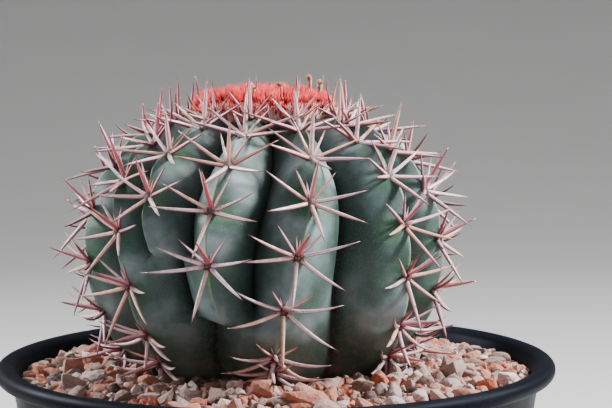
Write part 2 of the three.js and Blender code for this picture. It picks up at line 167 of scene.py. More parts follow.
# %% The Finish class
class Finish:
    """A material being built: its shader, and short ways to add the nodes that feed it."""

    def __init__(self, name, roughness=0.5):
        self.material = bpy.data.materials.new(name)
        self.material.use_nodes = True
        self.tree = self.material.node_tree
        self.shader = self.tree.nodes["Principled BSDF"]
        self.shade("Roughness", roughness)
        mapping = self.add("Mapping")
        self.feed(self.add("TexCoord").outputs["Object"], mapping.inputs["Vector"])
        self.vector = mapping.outputs["Vector"]

    def add(self, kind):
        return self.tree.nodes.new("ShaderNode" + kind)

    def feed(self, value, socket):
        """Links another node's output to a socket, or sets a plain number or colour on it."""
        if isinstance(value, bpy.types.NodeSocket):
            self.tree.links.new(value, socket)
        else:
            socket.default_value = (*value, 1.0) if isinstance(value, tuple) else value

    def shade(self, label, value):
        self.feed(value, self.shader.inputs[label])

    def speckled(self, blotch_scale, speck_scale, speck_amount=0.5):
        node = self.add("Group")
        node.node_tree = mottle
        for value, socket in zip((self.vector, blotch_scale, speck_scale, speck_amount), node.inputs):
            self.feed(value, socket)
        return node.outputs["Blotch"], node.outputs["Speck"]

    def attribute(self, name):
        node = self.add("Attribute")
        node.attribute_name = name
        return node.outputs["Fac"]

    def height(self):
        node = self.add("SeparateXYZ")
        self.feed(self.vector, node.inputs[0])
        return node.outputs["Z"]

    def ramp(self, factor, stops):
        node = self.add("ValToRGB")
        points = node.color_ramp.elements
        while len(points) < len(stops):
            points.new(0.5)
        for point, (position, colour) in zip(points, stops):
            point.position = position
            point.color = (*colour, 1.0)
        self.feed(factor, node.inputs["Fac"])
        return node.outputs["Color"]

    def remap(self, value, low, high, to_low=0.0, to_high=1.0):
        """Stretches the span from low to high to a new one, and holds whatever lies beyond at its ends."""
        node = self.add("MapRange")
        labels = ("Value", "From Min", "From Max", "To Min", "To Max")
        for label, number in zip(labels, (value, low, high, to_low, to_high)):
            self.feed(number, node.inputs[label])
        return node.outputs["Result"]

    def mixed(self, factor, first, second):
        node = self.add("Mix")
        node.data_type = "RGBA"
        for value, index in ((factor, 0), (first, 6), (second, 7)):
            self.feed(value, node.inputs[index])
        return node.outputs[2]

    def times(self, first, second):
        node = self.add("Math")
        node.operation = "MULTIPLY"
        for value, index in ((first, 0), (second, 1)):
            self.feed(value, node.inputs[index])
        return node.outputs[0]

    def bump(self, height, distance, strength):
        node = self.add("Bump")
        for label, value in (("Strength", strength), ("Distance", distance), ("Height", height)):
            self.feed(value, node.inputs[label])
        self.shade("Normal", node.outputs["Normal"])

    def colour(self, output):
        self.shade("Base Color", output)
        return self.material


def grainy(name, roughness, scales, stops, grain_colour, grain_share=None, bump=None):
    """A material of blotches that follow a ramp of colours, with grains of one colour on them."""
    finish = Finish(name, roughness)
    blotches, grains = finish.speckled(*scales)
    if bump:
        finish.bump(blotches, *bump)
    if grain_share:
        grains = finish.times(grains, grain_share)
    return finish.colour(finish.mixed(grains, finish.ramp(blotches, stops), grain_colour))


print("a finish can use:", [name for name in vars(Finish) if not name.startswith("_")])

# %% [markdown]
# ## Camera, floor and light
# The camera stands 0.85 m in front of the pot's axis, a little above the plant's top, and looks 5.5 degrees
# down through a long lens. The studio is plain: a pale floor that curves up into a wall all round, and soft
# lamps, one brighter than the rest so that the ribs show their depth.

# %% Camera
LENS_IN_PIXELS, PHOTO_WIDTH = 2023.9, 612
CAMERA_PLACE = (0.0047, -0.85, 0.307)
camera_data = bpy.data.cameras.new("camera")
camera_data.sensor_width = 36.0
camera_data.lens = LENS_IN_PIXELS * camera_data.sensor_width / PHOTO_WIDTH
camera_data.clip_start = 0.05
camera = add_object("camera", camera_data)
pan, tilt, roll = math.radians(-0.56), math.radians(90 - 5.5), math.radians(-0.26)
aim = Matrix.Rotation(pan, 4, "Z") @ Matrix.Rotation(tilt, 4, "X") @ Matrix.Rotation(roll, 4, "Z")
camera.matrix_world = Matrix.Translation(CAMERA_PLACE) @ aim
bpy.context.scene.camera = camera
print("lens in mm:", round(camera_data.lens, 1))

# %% Floor
BACKDROP_RADIUS, BACKDROP_BEND, BACKDROP_HEIGHT = 3.2, 1.6, 3.2
bend_centre = (BACKDROP_RADIUS - BACKDROP_BEND, BACKDROP_BEND)
backdrop = [(0.0, 0.0), *arc(bend_centre, BACKDROP_BEND, -90, 0, 9), (BACKDROP_RADIUS, BACKDROP_HEIGHT)]
floor = add_object("floor", mesh_from(spin_profile(backdrop, 96), "floor"))
paper = Finish("studio_paper", 0.9)
soft, _ = paper.speckled(3.0, 40.0)
pale_grey = paper.ramp(soft, [(0.3, (0.56, 0.56, 0.555)), (0.7, (0.58, 0.58, 0.575))])
floor.data.materials.append(paper.colour(pale_grey))
print("floor faces:", len(floor.data.polygons))

# %% Lamps
studio = bpy.data.worlds.new("studio")
studio.use_nodes = True
background = studio.node_tree.nodes["Background"]
background.inputs["Color"].default_value = (0.92, 0.94, 1.0, 1.0)
background.inputs["Strength"].default_value = 0.05
bpy.context.scene.world = studio


def lamp(name, place, size, power, target=(0, 0, 0.22)):
    data = bpy.data.lights.new(name, "AREA")
    data.size = size
    data.energy = power
    lamp_object = add_object(name, data)
    lamp_object.location = place
    lamp_object.rotation_euler = (Vector(target) - Vector(place)).to_track_quat("-Z", "Y").to_euler()


lamp("key", (1.15, 0.05, 1.05), 0.26, 64)
lamp("side", (-1.0, 0.34, 0.72), 0.26, 24)
lamp("top", (0.1, 0.45, 1.35), 0.4, 13)
lamp("front", (0.2, -1.7, 1.1), 0.8, 0.9, target=(0, 0, 0.2))
print("lamps:", [light.name for light in bpy.data.lights])

# %% [markdown]
# ## The pot
# A nursery pot is moulded in one thin wall of black plastic. Its mouth ends in a rolled rim, with a shallow
# collar under it, and it stands on a ring so that water can leave by the holes in its base. It could be a
# cylinder with loops pushed in and out. One closed outline that is spun about the axis is simpler, and gives
# the wall its true thickness. It has more points than the solid's, so the roll catches a clean line of light.

# %% Pot: outline and spin
POT_HEIGHT, FOOT_RADIUS, TOP_RADIUS, WALL = 160.0, 84.0, 111.0, 1.8
RIM_RADIUS, ROLL = 118.0, 3.6


def wall_radius(z):
    """Inner radius of the tapered wall."""
    return mix(FOOT_RADIUS, TOP_RADIUS, z / POT_HEIGHT) - WALL


def outside(z, proud=0.0):
    return wall_radius(z) + WALL + proud


pot_outline = [
    (0.0, 4.0),
    (72.6, 4.0),
    *arc((75.6, 1.2), 1.2, 180, 270, 4),
    *arc((82.2, 1.4), 1.4, 270, 360, 4),
    (outside(8), 8.0),
    (outside(60), 60.0),
    (outside(128), 128.0),
    (outside(129, 0.2), 129.0),
    (outside(130, 1.4), 130.6),
    (outside(152, 1.4), 152.0),
    *arc((RIM_RADIUS - ROLL, POT_HEIGHT - ROLL), ROLL, -125, 105, 16),
    (RIM_RADIUS - 2 * ROLL, POT_HEIGHT - 0.9),
    (wall_radius(157) - 0.1, 157.0),
    (wall_radius(152), 152.0),
    (wall_radius(10), 10.0),
    *arc((wall_radius(6.6) - 3.4, 10.0), 3.4, 0, -90, 5)[1:],
    (0.0, 6.6),
]
bm = spin_profile(pot_outline, 144)
print("pot faces before the drain holes:", len(bm.faces))

# %% [markdown]
# ## The pot's plastic
# Black polypropylene is slightly bluish where light grazes it, with faint scuffs and a little pale dust. A
# flat black would look like a hole in the picture, so noise lays the dust in patches and breaks up the gloss.

# %% Pot: plastic
plastic = Finish("black_plastic")
cloud, dust = plastic.speckled(28.0, 1500.0, 0.35)
dusty = plastic.times(dust, plastic.remap(cloud, 0.5, 0.75))
plastic.shade("Specular IOR Level", 0.06)
plastic.shade("Specular Tint", (0.66, 0.78, 1.0))
plastic.shade("Roughness", plastic.remap(cloud, 0.3, 0.7, 0.44, 0.6))
plastic.bump(cloud, 0.0004, 0.12)
plastic_material = plastic.colour(plastic.mixed(dusty, (0.0022, 0.003, 0.0065), (0.035, 0.037, 0.045)))
pot = finish_piece(bm, "pot_body", plastic_material, ["pot"])

# %% [markdown]
# ## Drain holes
# Water leaves by one hole in the middle of the base and eight round it. Deleting faces would leave open
# edges, so the holes are cut by a Boolean with round pins, which keeps the wall closed round each of them.

# %% Pot: drain holes
HOLE_RADIUS, HOLE_CIRCLE, HOLES_ROUND = 5.0, 58.0, 8
hole_places = [around(360 / HOLES_ROUND * i, HOLE_CIRCLE, 0) for i in range(HOLES_ROUND)]
bm = bmesh.new()
for place in [Vector((0, 0, 0)), *hole_places]:
    pin = bmesh.ops.create_cone(
        bm, cap_ends=True, segments=28, radius1=HOLE_RADIUS, radius2=HOLE_RADIUS, depth=20
    )["verts"]
    bmesh.ops.translate(bm, vec=place + Vector((0, 0, 5)), verts=pin)
bmesh.ops.scale(bm, vec=(MM, MM, MM), verts=bm.verts)
pins = add_object("drain_pins", mesh_from(bm, "drain_pins"))
cut_holes = pot.modifiers.new("drain_holes", "BOOLEAN")
cut_holes.operation = "DIFFERENCE"
cut_holes.object = pins
cut_holes.solver = "EXACT"
baked = bpy.data.meshes.new_from_object(pot.evaluated_get(bpy.context.evaluated_depsgraph_get()))
pot.modifiers.clear()
pot.data = baked
baked.name = "pot_body"
bpy.data.objects.remove(pins)
for face in baked.polygons:
    face.use_smooth = True
baked.set_sharp_from_angle(angle=math.radians(38))
print("pot faces with the drain holes:", len(baked.polygons))

# %% [markdown]
# ## The potting mix
# The mix lies under the stones and shows only through the drain holes. Its plain solid has the right shape,
# so it stays and gets a crumbly brown finish with pale grains.

# %% Potting mix
mix_colours = [(0.3, (0.014, 0.009, 0.006)), (0.7, (0.085, 0.052, 0.032))]
mix_material = grainy(
    "potting_mix", 0.95, (220.0, 1100.0, 0.7), mix_colours, (0.35, 0.3, 0.24), bump=(0.0015, 0.8)
)
mix_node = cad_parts["potting_mix"]
mix_node.data.materials.clear()
mix_node.data.materials.append(mix_material)
print("potting mix keeps its solid:", len(mix_node.data.polygons), "faces")

# %% [markdown]
# ## The plant's formulas
# Seen from the side, the crest of a rib follows a flattened globe: a fuller curve above the waist and a
# longer one below it, running on into the stones. A latitude from -90 to 90 degrees moves along that line.
# Ribs aren't evenly spaced on a real plant. Younger ribs start part of the way up, in the groove between two
# older ones, with a blunt chin. So each rib has its own azimuth at the foot, the waist and the crown, and
# the younger ones a height where they start.

# %% Ribs and the crest line
STEM_RADIUS, WAIST, RISE, DROP = 76.0, 51.0, 55.0, 77.0
SHOULDER = 2.2
RIB_DEPTH = 19.0
CROWN_RADIUS, CROWN_HEIGHT = 29.0, 101.0
START_RAMP = 6.0
RIBS = [
    {"azimuths": (3, 10.4, 24), "first": 9.5},
    {"azimuths": (58, 50.5, 54.5), "first": 21.5},
    {"azimuths": (86, 74, 70), "first": 9},
    {"azimuths": (125, 110, 98), "first": 18},
    {"azimuths": (146, 138, 127), "start": 38, "first": 8},
    {"azimuths": (165, 163, 156), "first": 20},
    {"azimuths": (200, 192, 185), "first": 12},
    {"azimuths": (220, 221, 214), "start": 32, "first": 21},
    {"azimuths": (238, 250, 244), "first": 9},
    {"azimuths": (279, 285, 270), "first": 18},
    {"azimuths": (315.5, 310.5, 292), "first": 24},
    {"azimuths": (342, 324, 316.5), "start": 47, "first": 8},
    {"azimuths": (355, 343.5, 350.5), "start": 19, "first": 13},
]


def crest_line(latitude):
    """Radius and height of the crest, from the plant's axis and the rim's plane."""
    power = 1.0 if latitude < 0 else 2 / SHOULDER
    reach = DROP if latitude < 0 else RISE
    sine = math.sin(math.radians(latitude))
    radius = STEM_RADIUS * max(0.0, math.cos(math.radians(latitude))) ** power
    return radius, WAIST + math.copysign(reach * abs(sine) ** power, sine)


def facing(latitude):
    """The outward direction of the crest line, as its radial and upward shares."""
    below, above = crest_line(latitude - 0.5), crest_line(min(90, latitude + 0.5))
    run = Vector((above[1] - below[1], below[0] - above[0])).normalized()
    return run.x, run.y


def rib_azimuth(rib, z):
    foot, waist, crown = rib["azimuths"]
    t = min(1.0, max(0.0, z / (2 * WAIST)))
    return foot * (1 - t) * (1 - 2 * t) + waist * 4 * t * (1 - t) + crown * t * (2 * t - 1)


crown_latitude = math.degrees(math.acos((CROWN_RADIUS / STEM_RADIUS) ** (SHOULDER / 2)))
print("ribs at the foot:", sum("start" not in rib for rib in RIBS), "and at the crown:", len(RIBS))

# %% [markdown]
# ## Across a rib
# A rib's flank is nearly straight beside its sharp crest and turns steeply into a narrow groove. Curves drawn
# for each rib would be hard to keep even, so one formula gives the rise of the skin from the groove to the
# crest. It only needs to know how far a point lies from the nearest crest.

# %% Rib section
YOUNG = sorted((rib for rib in RIBS if "start" in rib), key=lambda rib: rib["start"])
OLD = [rib for rib in RIBS if "start" not in rib]


def beside(azimuth, azimuths):
    """How far an azimuth lies from the nearest crest, from 0 on it to 1 in the groove."""
    ahead = min((other - azimuth) % 360 for other in azimuths)
    behind = min((azimuth - other) % 360 for other in azimuths)
    return min(ahead, behind) / max(1e-6, (ahead + behind) / 2)


def section(across):
    return 1 - 0.6 * across - 0.4 * across**4.6


def rib_rise(azimuth, z):
    """Height of the skin from 0 in the groove to 1 on the crest, and how far it lies from the crest."""
    azimuths = [rib_azimuth(rib, z) for rib in OLD]
    across = beside(azimuth, azimuths)
    rise = section(across)
    for rib in YOUNG:
        azimuths.append(rib_azimuth(rib, z))
        share = ease(z, rib["start"], rib["start"] + START_RAMP)
        if share > 0:
            young = beside(azimuth, azimuths)
            rise = mix(rise, section(young), share)
            across = mix(across, young, share)
    return rise, across


def groove_depth(latitude):
    return RIB_DEPTH * ease(latitude, -64, -8) * (1 - 0.45 * ease(latitude, 45, 70))


print("groove depth at the waist, in mm:", round(groove_depth(0), 1))

# %% [markdown]
# ## Along a crest
# Areoles follow one another every 22 mm along a crest, and closer just above the stones. Equal steps of
# height would crowd them on the flat shoulder, so the way along the crest is measured in small steps first,
# and the areoles of each rib are counted off on it.

# %% Places along a crest
AREOLE_STEP = 22
STEPS_PER_DEGREE = 4
crest_runs = []
run_so_far, last_point = 0.0, crest_line(crown_latitude)
for step in range(int((crown_latitude + 60) * STEPS_PER_DEGREE)):
    latitude = crown_latitude - step / STEPS_PER_DEGREE
    point = crest_line(latitude)
    run_so_far += math.dist(point, last_point)
    crest_runs.append((latitude, run_so_far, point[1]))
    last_point = point


def run_at(latitude):
    index = round((crown_latitude - latitude) * STEPS_PER_DEGREE)
    return crest_runs[min(len(crest_runs) - 1, max(0, index))][1]


for rib in RIBS:
    rib["areoles"], following = [], rib["first"]
    for latitude, run_here, z in crest_runs:
        if z < max(0.6, rib.get("start", -99) + 14):
            break
        if run_here >= following:
            rib["areoles"].append((latitude, run_here))
            following += AREOLE_STEP if z > 26 else max(8.0, z - 2.5)
lowest_areoles = [round(crest_line(rib["areoles"][-1][0])[1], 1) for rib in RIBS]
print("areoles:", sum(len(rib["areoles"]) for rib in RIBS))
print("lowest of each rib, in mm above the rim:", lowest_areoles)

# %% [markdown]
# ## The surface of the skin
# Between areoles the crest swells a little, most of all near the crown, and each areole sits in a slight
# notch. A sculpting brush would do this by eye. Here the swelling, the groove and some fine wrinkles are
# added to the crest line along its outward direction, so that one function gives any point of the skin.

# %% Swellings and the skin's surface
RUBBED_REACH = 11


def swelling(rib, latitude):
    """How far the crest swells out between two areoles of this rib."""
    here = run_at(latitude)
    runs = [run for _, run in rib["areoles"]]
    above = max((run for run in runs if run <= here), default=runs[0] - AREOLE_STEP)
    below = min((run for run in runs if run > here), default=above + AREOLE_STEP)
    phase = min(1.0, max(0.0, (here - above) / (below - above)))
    amount = mix(1.3, 3.0, ease(latitude, 5, 50)) * ease(latitude, -50, -20)
    return amount * (math.sin(math.pi * phase**0.85) ** 1.5 - 0.42)


def nearest_rib(azimuth, z):
    return min(RIBS, key=lambda rib: abs((rib_azimuth(rib, z) - azimuth + 180) % 360 - 180))


def near_areole(rib, latitude):
    """1 at an areole of this rib, falling to 0 some way along the crest."""
    gap = min(abs(run_at(latitude) - run) for _, run in rib["areoles"])
    return max(0.0, 1 - gap / RUBBED_REACH)


def skin_point(azimuth, latitude):
    """A point of the skin, from the plant's axis and the rim's plane, and how far it is from the crest."""
    radius, z = crest_line(latitude)
    out, up = facing(latitude)
    rise, across = rib_rise(azimuth, z)
    swell = swelling(nearest_rib(azimuth, z), latitude) * (1 - across) ** 1.5
    moved = swell - groove_depth(latitude) * (1 - rise)
    bumpy = noise.noise(around(azimuth, 1, latitude / 40) * 2.3) * 0.9
    wrinkle = math.sin(run_at(latitude) * 1.25 + 5 * noise.noise(around(azimuth, 2.4, latitude / 20)))
    moved += (bumpy + 0.16 * wrinkle * across**0.4) * (1 - across) * ease(latitude, -40, 0)
    return around(azimuth, max(0.0, radius + out * moved), z + up * moved), across


print("skin at the waist, in front:", [round(value, 1) for value in skin_point(0, 0)[0]])

# %% [markdown]
# ## The stem's skin
# The skin is one closed surface. It could be sculpted, but a grid that is wrapped round the axis is cleaner:
# its columns run along crests and grooves, and stand closest together there so that both stay crisp. Its
# rows follow the latitude. Each vertex keeps how far it lies from the crest and how near to an areole. The
# material reads both, to draw the crest line, the painted shade of the grooves and the rubbed green patches.

# %% Skin: wrap a grid round the plant
CREST_TO_GROOVE = [0, 0.03, 0.1, 0.19, 0.29, 0.39, 0.5, 0.61, 0.72, 0.82, 0.9, 0.96, 1]
COLUMNS_PER_RIB = 2 * (len(CREST_TO_GROOVE) - 1)
FINE_ROWS = 144


def latitude_rows():
    buried = [-90, -80, -70, -60, -54]
    step = (crown_latitude + 50) / FINE_ROWS
    return buried + [-50 + step * i for i in range(FINE_ROWS + 1)]


def column_azimuth(column, z):
    rib, part = divmod(column, COLUMNS_PER_RIB)
    here = rib_azimuth(RIBS[rib % len(RIBS)], z)
    following = rib_azimuth(RIBS[(rib + 1) % len(RIBS)], z)
    steps = len(CREST_TO_GROOVE) - 1
    share = CREST_TO_GROOVE[part] / 2 if part <= steps else 1 - CREST_TO_GROOVE[2 * steps - part] / 2
    return here + ((following - here) % 360) * share


rows = latitude_rows()
columns = COLUMNS_PER_RIB * len(RIBS)
bm = bmesh.new()
bmesh.ops.create_grid(bm, x_segments=columns, y_segments=len(rows) + 1, size=1.0)
across_layer = bm.verts.layers.float.new("across")
rubbed_layer = bm.verts.layers.float.new("rubbed")
for vert in bm.verts:
    column = round((vert.co.x + 1) / 2 * columns) % columns
    row = round((vert.co.y + 1) / 2 * (len(rows) + 1))
    if row < len(rows):
        latitude = rows[row]
        z = crest_line(latitude)[1]
        azimuth = column_azimuth(column, z)
        point, vert[across_layer] = skin_point(azimuth, latitude)
        vert[rubbed_layer] = near_areole(nearest_rib(azimuth, z), latitude)
        vert.co = Vector((0, 0, point.z)) if row == 0 else point
    else:
        inner = 26.0 if row == len(rows) else 0.0
        vert.co = around(column_azimuth(column, CROWN_HEIGHT), inner, CROWN_HEIGHT)
bmesh.ops.remove_doubles(bm, verts=bm.verts, dist=1e-3)
bmesh.ops.recalc_face_normals(bm, faces=bm.faces)
bmesh.ops.translate(bm, vec=PLANT, verts=bm.verts)
print("skin vertices:", len(bm.verts), "open edges:", sum(edge.is_boundary for edge in bm.edges))

# %% [markdown]
# ## The skin's wax
# A grey-blue wax covers deep green flesh. It is rubbed off in patches near the areoles, and a fine line of
# yellow-green shows along the crest. The grooves are dull, and painted shade darkens them, most of all in the
# seam at their bottom. Low down the skin turns brown and corky. An image would have to be wrapped round
# thirteen ribs. Plain colours laid over one another, with masks from noise and from the two marks on the
# vertices, fit the ribs by themselves.

# %% Skin: wax, bloom and crest line
skin = Finish("waxy_skin")
patches, pores = skin.speckled(46.0, 1700.0, 0.5)
_, scabs = skin.speckled(20.0, 330.0, 1.0)
beside_crest = skin.attribute("across")
wax_colours = [(0.37, (0.03, 0.074, 0.06)), (0.5, (0.088, 0.15, 0.148)), (0.64, (0.26, 0.335, 0.355))]
wax = skin.ramp(patches, wax_colours)
# Painted shade: the colour darkens towards the groove, and darker still in the seam at its bottom.
painted_groove_shade = skin.mixed(skin.remap(beside_crest, 0.35, 1.0, 0.0, 0.88), wax, (0.012, 0.034, 0.025))
painted_seam_shade = skin.mixed(skin.remap(beside_crest, 0.88, 1.0, 0.0, 0.92), painted_groove_shade, (0.002, 0.006, 0.005))
near = skin.times(skin.remap(skin.attribute("rubbed"), 0.05, 0.8), skin.remap(beside_crest, 0.6, 0.1))
rubbed = skin.mixed(skin.times(near, skin.remap(patches, 0.62, 0.42, 0.1, 0.85)), painted_seam_shade, (0.035, 0.13, 0.045))
dotted = skin.mixed(skin.times(pores, 0.25), rubbed, (0.28, 0.34, 0.34))
line = skin.mixed(skin.remap(beside_crest, 0.035, 0.012, 0.0, 0.6), dotted, (0.22, 0.34, 0.16))
low_down = skin.remap(skin.height(), 0.19, 0.158, 0.0, 0.55)
corky = skin.mixed(skin.times(low_down, skin.remap(patches, 0.35, 0.6)), line, (0.12, 0.105, 0.055))
skin_colour = skin.mixed(skin.times(low_down, scabs), corky, (0.22, 0.13, 0.07))
gloss = skin.times(skin.remap(patches, 0.3, 0.7, 0.54, 0.34), skin.remap(beside_crest, 0.75, 1.0, 1.0, 0.05))
skin.shade("Roughness", skin.remap(gloss, 0.0, 1.0, 1.0, 0.0))
skin.bump(pores, 0.0002, 0.35)
skin_material = skin.colour(skin_colour)
finish_piece(bm, "stem_skin", skin_material, ["cactus_stem_with_spines"])

# %% [markdown]
# ## The root
# Below the stones the stem narrows to a woody root. It is hidden, so a short turned taper with a rough bark
# finish is enough.

# %% Root
bm = spin_profile([(0, -75), (2.5, -74), (6, -49), (8, -38), (11, -28), (15, -20), (0, -20)], 24, PLANT)
bark_colours = [(0.3, (0.06, 0.035, 0.02)), (0.7, (0.2, 0.12, 0.07))]
root_material = grainy("root_bark", 0.9, (140.0, 700.0), bark_colours, (0.3, 0.22, 0.15), bump=(0.001, 0.7))
finish_piece(bm, "root", root_material, ["cactus_stem_with_spines"])

# %% [markdown]
# ## Areoles
# Every spine grows from an areole, a small cushion of felt on the crest. Cushions, hairs and spines all stand
# on the same spots, so the place and the three directions of each areole are worked out once and kept. Above
# the full-grown ones, each rib has one more that is just opening at the edge of the cap.

# %% Places of the areoles
draw = random.Random(41)
NEWEST_RUN = 2.5
areoles = []


def add_areole(rib, latitude, young):
    azimuth = rib_azimuth(rib, crest_line(latitude)[1])
    out, up = facing(latitude)
    place, _ = skin_point(azimuth, latitude)
    normal = around(azimuth, out, up).normalized()
    upward = around(azimuth, -up, out).normalized()
    right = upward.cross(normal)
    areoles.append({"place": place, "normal": normal, "up": upward, "right": right, "young": young})


for rib in RIBS:
    for latitude, _ in rib["areoles"]:
        add_areole(rib, latitude, young=False)
    newest = max(NEWEST_RUN, rib["first"] - AREOLE_STEP / 2)
    add_areole(rib, next(latitude for latitude, run, _ in crest_runs if run >= newest), young=True)
print("areoles placed:", len(areoles))

# %% [markdown]
# ## Small shapes that repeat
# Spines, hairs, bristles, petals and stones repeat many times. Instances and hair systems would be lighter,
# but they don't travel with an exported model. So a small template is made once, and copies of its mesh are
# added to one piece, each bent, moved and marked in its own way. The marks are numbers on the vertices, and
# the materials read them.


# %% Copy a small template into a piece
def stamp(bm, template, matrix, bend=None, **values):
    """Adds a copy of the template's mesh, bent and moved into place. A value marks each vertex of the
    copy, and may be worked out from the vertex's place on the template."""
    first = len(bm.verts)
    bm.from_mesh(template)
    bm.verts.ensure_lookup_table()
    layers = {name: bm.verts.layers.float[name] for name in values}
    for vert in bm.verts[first:]:
        for name, value in values.items():
            vert[layers[name]] = value(vert.co) if callable(value) else value
        vert.co = matrix @ (bend(vert.co) if bend else vert.co)


def marked_bmesh(names=("along", "tone", "kind", "under")):
    """An empty bmesh with the marks that the copies carry."""
    bm = bmesh.new()
    for name in names:
        bm.verts.layers.float.new(name)
    return bm


def only(kind, geometry):
    return [item for item in geometry if isinstance(item, kind)]


def needle_template(name, sides, rings):
    """A needle of unit length and unit root radius up +Z, from rings of (height, radius)."""
    bm = marked_bmesh()
    bmesh.ops.create_circle(bm, cap_ends=True, segments=sides, radius=rings[0][1])
    edges = bm.edges[:]
    for height, radius in rings[1:]:
        grown = bmesh.ops.extrude_edge_only(bm, edges=edges)["geom"]
        loop, edges = only(bmesh.types.BMVert, grown), only(bmesh.types.BMEdge, grown)
        for vert in loop:
            vert.co = Vector((vert.co.x, vert.co.y, 0)).normalized() * radius + Vector((0, 0, height))
    bmesh.ops.pointmerge(bm, verts=loop, merge_co=(0, 0, 1))
    along = bm.verts.layers.float["along"]
    for vert in bm.verts:
        vert[along] = vert.co.z
    bmesh.ops.recalc_face_normals(bm, faces=bm.faces)
    print(name, "has", len(bm.faces), "faces")
    return mesh_from(bm, name)


def needle_matrix(place, along, facing_out, length, thick):
    """Sets a template needle at a place, its length along a direction and its +X side facing out."""
    side = (facing_out - along * facing_out.dot(along)).normalized()
    turned = Matrix((side, along.cross(side), along)).transposed()
    return Matrix.Translation(place) @ (turned @ Matrix.Diagonal((thick, thick, length))).to_4x4()


print("stamping helpers ready")

# %% [markdown]
# ## The spines
# A spine is a stout, slightly curved needle: nearly even in thickness for half its length, then drawn to a
# dark point. They are far too many to model by hand, so one template is stamped for each, with the length,
# lean and curve of its place in the cluster and some seeded scatter. The lowest clusters curve up over the
# stones. Each vertex keeps how far along the spine it lies and the spine's own tone, for the colour.

# %% Spines: the plan of a cluster, and the needle
# Each row is one spine: its turn from straight up and its lean from straight out in degrees, its length, its
# root radius and its kind, which is 1 for the central spine.
SPINES = [
    (4, 30, 20.5, 0.95, 1.0),
    (-28, 60, 16.5, 0.62, 0.4),
    (38, 60, 16, 0.6, 0.5),
    (-66, 66, 22.5, 0.76, 0.2),
    (78, 66, 24, 0.78, 0.3),
    (-101, 66, 24.5, 0.88, 0.1),
    (122, 62, 26, 0.86, 0.2),
    (186, 56, 24.5, 0.9, 0.0),
    (-9, 68, 7.5, 0.36, 0.6),
    (17, 72, 6.5, 0.34, 0.6),
]
YOUNG_SPINES = [
    (10, 16, 17.5, 0.7, 0.5),
    (-62, 40, 14, 0.55, 0.2),
    (70, 42, 14.5, 0.55, 0.3),
    (-120, 54, 13, 0.5, 0.1),
    (128, 50, 13.5, 0.5, 0.1),
    (180, 46, 12, 0.5, 0.0),
]
stout_rings = [(0, 1.3), (0.06, 1.16), (0.14, 1.02), (0.32, 0.98)]
stout_rings += [(0.52, 0.86), (0.7, 0.65), (0.84, 0.41), (0.94, 0.18)]
stout = needle_template("stout_needle", 8, stout_rings)
print("spines of a full-grown and of a young areole:", len(SPINES), "and", len(YOUNG_SPINES))

# %% Spines: one cluster for each areole
CLAW_HEIGHT = 52.0  # below it, the side spines curve up like claws
TIP_CLEARANCE = 5.5  # no tip comes closer to the stones
CAP_FOOT, CAP_REACH = 97, 33  # a tip above this height stays outside this radius, clear of the cap


def grit_top(radius):
    """Height of the stones' surface, from the rim's plane. It falls from the plant to the wall."""
    return -mix(1.5, 7.0, ease(radius, 66, 111))


def grow_spine(bm, areole, turn, lean, length, thick, kind):
    turn_by = math.radians(turn + draw.gauss(0, 5))
    lean_by = math.radians(lean + draw.gauss(0, 4))
    length *= draw.uniform(0.88, 1.1)
    sideways = areole["up"] * math.cos(turn_by) + areole["right"] * math.sin(turn_by)
    along = areole["normal"] * math.cos(lean_by) + sideways * math.sin(lean_by)
    start = areole["place"] + sideways * 1.2 - areole["normal"] * 0.8
    claw = ease(abs(math.sin(turn_by)), 0.3, 0.9) * mix(0.08, 0.36, 1 - ease(start.z, 6, CLAW_HEIGHT))
    curve = areole["up"] * claw - areole["normal"] * draw.uniform(0.02, 0.12) * math.sin(lean_by)
    curve += sideways.cross(along) * draw.gauss(0, 0.04)
    along = (along - areole["up"] * claw * 0.7).normalized()
    tip = start + (along + curve) * length
    lowest_tip = grit_top(math.hypot(tip.x, tip.y)) + TIP_CLEARANCE
    if tip.z < lowest_tip:
        curve.z += (lowest_tip - tip.z) / length
        curve += areole["normal"] * 0.06
    from_axis = math.hypot(tip.x, tip.y)
    if tip.z > CAP_FOOT and from_axis < CAP_REACH:
        curve += around(math.degrees(math.atan2(start.x, -start.y)), (CAP_REACH - from_axis) / length, 0)
    upper = areole["normal"] * 0.6 + Vector((0, 0, 0.8))
    matrix = needle_matrix(start, along, upper, length, thick * draw.uniform(0.92, 1.08))
    pull = matrix.to_3x3().inverted() @ (curve * length)
    stamp(
        bm,
        stout,
        Matrix.Translation(PLANT) @ matrix,
        bend=lambda co: co + pull * co.z**2,
        tone=draw.random(),
        kind=kind,
        under=lambda co: 0.5 - 0.5 * co.x / max(1e-6, math.hypot(co.x, co.y)),
    )


bm = marked_bmesh()
for areole in areoles:
    for row in YOUNG_SPINES if areole["young"] else SPINES:
        grow_spine(bm, areole, *row)
print("vertices of all spines:", len(bm.verts))
